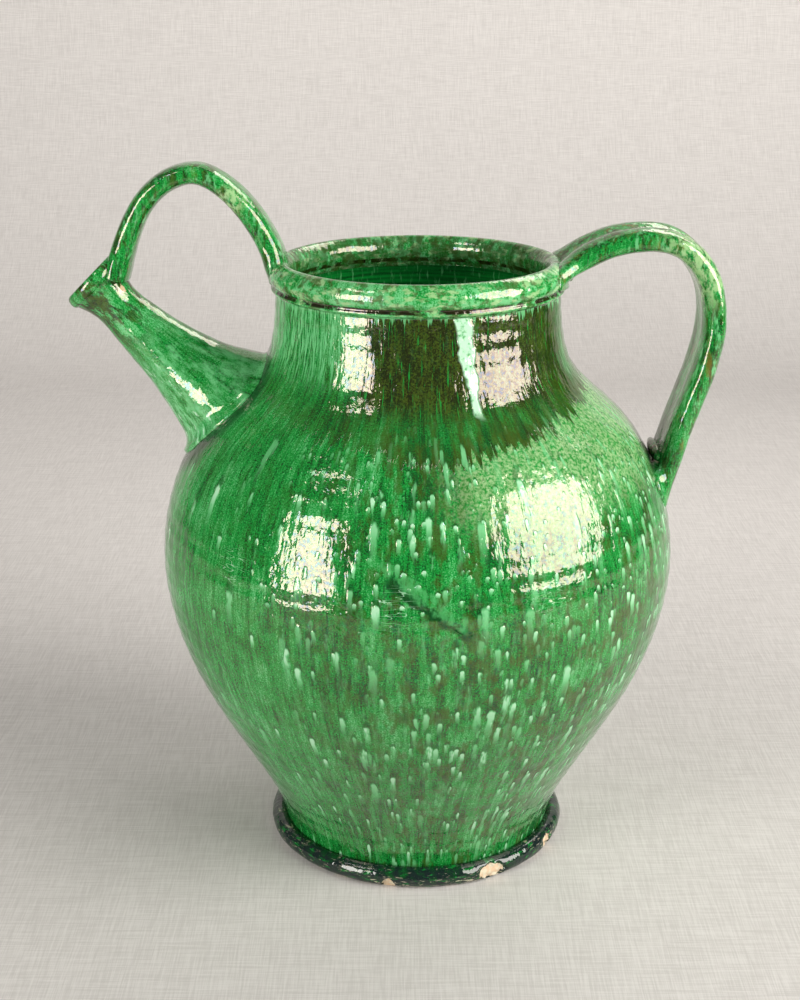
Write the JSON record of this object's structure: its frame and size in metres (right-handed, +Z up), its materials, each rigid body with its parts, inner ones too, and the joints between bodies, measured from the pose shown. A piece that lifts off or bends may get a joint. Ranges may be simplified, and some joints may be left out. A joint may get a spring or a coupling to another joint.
{
  "type": "ceramic pitcher",
  "caption": "Large free-standing green-glazed earthenware water pitcher with a bulbous body, a rolled rim, a slanted spout, an arched bridge handle and a grooved strap handle.",
  "frame": {"origin": "centre of the foot's resting face, on the vessel's axis", "axes": "+Z up along the vessel's axis, -X towards the spout, +X towards the rear strap handle, +Y away from the viewer of the side with the spout on the left"},
  "size_m": [0.3492, 0.28, 0.3806],
  "materials": {
    "green_glaze": "gloss",
    "foot_glaze": "gloss, worn"
  },
  "bodies": {
    "root": {"thrown_vessel": "green_glaze", "foot_ring": "foot_glaze", "rim_collar": "green_glaze", "spout_tube": "green_glaze", "spout_lip": "green_glaze", "bridge_handle": "green_glaze", "rear_handle": "green_glaze", "rear_rim_wad": "green_glaze", "rear_shoulder_wad": "green_glaze", "bridge_rim_wad": "green_glaze", "bridge_lip_wad": "green_glaze"}
  },
  "joints": []
}
